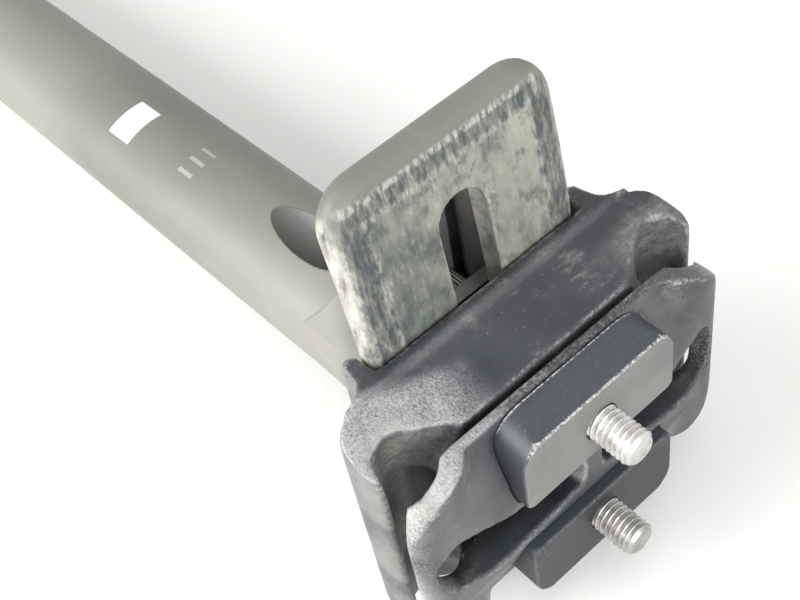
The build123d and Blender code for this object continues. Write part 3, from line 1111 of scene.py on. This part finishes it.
@dataclass
class NeckWall:
    """The two narrow strips of the neck's front wall that the solid leaves open."""

    finish: bpy.types.Material
    node: str = "seatpost_body"
    inner: float = 4.7
    outer: float = 7.4
    low: float = 265.6
    high: float = 275.2
    under_deck: float = 274.5
    thickness: float = 0.5
    inset: float = 0.02
    columns: int = 10
    rows: int = 24
    anchors: tuple[float, ...] = (4.2, 4.8, 7.1, 7.5)
    ahead: float = 60.0
    sharp: float = 40.0

    def front(self, x: float, z: float) -> float:
        """Finds the neck's front surface.

        Args:
            x: place across the bicycle in millimetres.
            z: height in millimetres.
        Returns:
            The place of the surface along the bicycle.
        """
        start = Vector((x, self.ahead, min(z, self.under_deck))) * MM
        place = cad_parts[self.node].ray_cast(start, Vector((0.0, -1.0, 0.0)))[1]
        return place.y / MM

    def between(self, x: float, known: list[Span]) -> float:
        """Carries the surface across the slit on a smooth curve.

        Args:
            x: place across the bicycle.
            known: places beside the slit and the surface there.
        Returns:
            The surface at that place.
        """
        y = 0.0
        for spot, value in known:
            shares = ((x - other) / (spot - other) for other, _ in known if other != spot)
            y += math.prod(shares) * value
        return y

    def strip(self, shape: bmesh.types.BMesh, hand: int) -> None:
        """Adds the strip of one side as a closed shell.

        Args:
            shape: the mesh that takes the strip.
            hand: one for the left side, minus one for the right.
        """
        sheets: list[list[list[bmesh.types.BMVert]]] = [[], []]
        for row in range(self.rows + 1):
            z = self.low + (self.high - self.low) * row / self.rows
            known = [(spot, self.front(hand * spot, z)) for spot in self.anchors]
            for sheet, depth in zip(sheets, (self.inset, self.inset + self.thickness)):
                line = []
                for column in range(self.columns + 1):
                    x = self.inner + (self.outer - self.inner) * column / self.columns
                    place = Vector((hand * x, self.between(x, known) - depth, z))
                    line.append(shape.verts.new(place * MM))
                sheet.append(line)
        rings = []
        for sheet in sheets:
            for first, second in zip(sheet, sheet[1:]):
                for step in range(self.columns):
                    corners = (first[step], first[step + 1], second[step + 1], second[step])
                    shape.faces.new(corners)
            near, far = [line[0] for line in sheet], [line[-1] for line in reversed(sheet[:-1])]
            rings.append(near + sheet[-1][1:] + far + sheet[0][-2:0:-1])
        front, rear = rings
        for step in range(len(front)):
            after = (step + 1) % len(front)
            shape.faces.new((front[step], front[after], rear[after], rear[step]))

    def build(self) -> bpy.types.Object:
        """Builds both strips as one piece of the post.

        Returns:
            The finished piece.
        """
        shape = bmesh.new()
        for hand in (1, -1):
            self.strip(shape, hand)
        bmesh.ops.recalc_face_normals(shape, faces=shape.faces)
        piece = new_piece("neck_front_wall", shape)
        paint_over(piece.data, self.finish)
        keep_sharp(piece, self.sharp)
        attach(piece, Body.POST.value)
        return piece


@dataclass
class Solids:
    """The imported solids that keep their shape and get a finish."""

    finishes: dict[str, bpy.types.Material]

    def dress(self) -> list[str]:
        """Puts the finishes on.

        Returns:
            The names of the dressed nodes.
        """
        for name, finish in self.finishes.items():
            paint_over(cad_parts[name].data, finish)
        return list(self.finishes)


@dataclass(frozen=True)
class Lamp:
    """A soft square lamp, in metres and watts."""

    name: str
    place: Colour
    aim: Colour
    size: float
    watts: float

    def hang(self) -> None:
        """Hangs the lamp and points it."""
        data = bpy.data.lights.new(self.name, "AREA")
        data.shape = "SQUARE"
        data.size = self.size
        data.energy = self.watts
        lamp = bpy.data.objects.new(self.name, data)
        lamp.location = self.place
        way = Vector(self.aim) - Vector(self.place)
        lamp.rotation_euler = way.to_track_quat("-Z", "Y").to_euler()
        bpy.context.scene.collection.objects.link(lamp)


@dataclass
class Studio:
    """White table that the post lies on, soft lamps and the camera."""

    low_front: Span = (14.1, -0.8)
    high_front: Span = (4.05, 276.0)
    reach: float = 1.6
    white: Colour = (0.86, 0.855, 0.84)
    lift: float = 0.19
    sky: float = 0.42
    sky_seen: float = 0.58
    lamps: tuple[Lamp, ...] = (
        Lamp("window", (0.88, -0.46, -0.12), (0.0, -0.02, 0.26), 0.75, 15.0),
        Lamp("ceiling", (0.05, -1.0, 0.42), (0.0, -0.02, 0.26), 0.5, 1.2),
        Lamp("crown", (0.15, -0.45, 1.05), (0.0, -0.03, 0.28), 0.6, 6.5),
    )
    lens: float = 58.202
    sensor: float = 36.0
    clip: float = 0.01
    eye: Colour = (0.06303, -0.16203, 0.36114)
    right: Colour = (-0.73986, 0.14156, 0.6577)
    up: Colour = (-0.5773, -0.63556, -0.51263)
    back: Colour = (0.34544, -0.75896, 0.55195)

    def table_paint(self) -> bpy.types.Material:
        """White for the camera, pale for the light, and clear from behind.

        Returns:
            The material.
        """
        material = bpy.data.materials.new("table_white")
        material.use_nodes = True
        g = Graph(material.node_tree)
        g.tree.nodes.clear()
        seen = g.wire(g.node("ShaderNodeLightPath"), "Is Camera Ray")
        plain = g.wire(g.node("ShaderNodeBsdfDiffuse", None, {"Color": self.white}))
        inputs = {"Color": self.white, "Strength": seen * self.lift}
        lift = g.wire(g.node("ShaderNodeEmission", None, inputs))
        matt = g.wire(g.node("ShaderNodeAddShader", None, {0: plain, 1: lift}))
        clear = g.wire(g.node("ShaderNodeBsdfTransparent"))
        rear = g.wire(g.node("ShaderNodeNewGeometry"), "Backfacing")
        both = g.wire(g.node("ShaderNodeMixShader", None, {0: rear, 1: matt, 2: clear}))
        g.node("ShaderNodeOutputMaterial", None, {"Surface": both})
        return material

    def table(self) -> None:
        """Lays the table against the front of the post."""
        low = Vector((0.0, *self.low_front)) * MM
        high = Vector((0.0, *self.high_front)) * MM
        middle = (low + high) / 2.0
        along = (high - low).normalized() * self.reach
        side = Vector((1.0, 0.0, 0.0)) * self.reach
        signs = ((-1, -1), (1, -1), (1, 1), (-1, 1))
        mesh = bpy.data.meshes.new("table")
        mesh.from_pydata([middle + a * side + b * along for a, b in signs], [], [(0, 1, 2, 3)])
        mesh.update()
        if mesh.polygons[0].normal.y > 0.0:
            mesh.flip_normals()
        table = bpy.data.objects.new("table", mesh)
        bpy.context.scene.collection.objects.link(table)
        mesh.materials.append(self.table_paint())

    def world(self) -> None:
        """White where it is seen or mirrored, a plain soft level elsewhere."""
        world = bpy.data.worlds.new("white_room")
        bpy.context.scene.world = world
        world.use_nodes = True
        g = Graph(world.node_tree)
        g.tree.nodes.clear()
        path = g.node("ShaderNodeLightPath")
        camera, glossy, clear = (
            g.wire(path, f"Is {ray} Ray") for ray in ("Camera", "Glossy", "Transmission")
        )
        level = self.sky + camera.most(glossy).most(clear) * self.sky_seen
        inputs = {"Color": (1.0, 1.0, 1.0), "Strength": level}
        sky = g.wire(g.node("ShaderNodeBackground", None, inputs))
        g.node("ShaderNodeOutputWorld", None, {"Surface": sky})

    def camera(self) -> None:
        """Sets the camera as it was fitted to the photograph."""
        data = bpy.data.cameras.new("camera")
        data.lens = self.lens
        data.sensor_width = self.sensor
        data.sensor_fit = "HORIZONTAL"
        data.clip_start = self.clip
        camera = bpy.data.objects.new("camera", data)
        turn = Matrix((self.right, self.up, self.back)).transposed()
        camera.matrix_world = Matrix.Translation(self.eye) @ turn.to_4x4()
        bpy.context.scene.collection.objects.link(camera)
        bpy.context.scene.camera = camera

    def build(self) -> None:
        """Sets up the whole studio."""
        self.table()
        for lamp in self.lamps:
            lamp.hang()
        self.world()
        self.camera()
        bpy.context.scene.view_settings.view_transform = "Standard"


def main() -> None:
    """Sets up the studio, dresses the solids and adds the scene's own pieces."""
    logging.basicConfig(level=logging.INFO, format="%(message)s")
    Studio().build()
    satin = PostFinish().make()
    washer = SteelFinish("washer_zinc").make()
    solids = Solids({"seatpost_body": satin, "rear_washer": washer, "front_washer": washer})
    for name in solids.dress():
        log.info("dressed %s", name)
    lower = ClampFinish("lower_clamp_black").make()
    # the upper clamp's ends get a stronger painted sheen
    painted_sheen_ends = {"end": (0.64, 0.63, 0.615), "end_sheen_share": 0.85}
    upper = ClampFinish("upper_clamp_black", **painted_sheen_ends).make()
    rear_nut = NutFinish("rear_nut_satin").make()
    # painted shade: the front nut gets a darker copy of the nut finish
    front_nut = NutFinish("front_nut_shaded_satin", light=(0.034, 0.035, 0.038)).make()
    bright = SteelFinish("bolt_zinc").make()
    # painted shade: the front bolt gets a darker copy of the bolt finish
    dull = SteelFinish("bolt_shaded_zinc", (0.52, 0.51, 0.49), (0.30, 0.29, 0.27)).make()
    parts: list[Union[NeckWall, ForgedPiece, ThreadedBolt]] = [
        NeckWall(satin),
        ForgedPiece("lower_clamp", Slot.CLAMP, lower, 0.36, 20, corner=HookCorner()),
        ForgedPiece("upper_clamp", Slot.CLAMP, upper, 0.30, 16),
        ForgedPiece("rear_nut_plate", Slot.NUT, rear_nut, 0.18, 8),
        ForgedPiece("front_nut_plate", Slot.NUT, front_nut, 0.18, 8),
        ThreadedBolt("rear_bolt", bright),
        ThreadedBolt("front_bolt", dull),
    ]
    for part in parts:
        piece = part.build()
        log.info("built %s with %d faces", piece.name, len(piece.data.polygons))


if __name__ == "__main__":
    main()
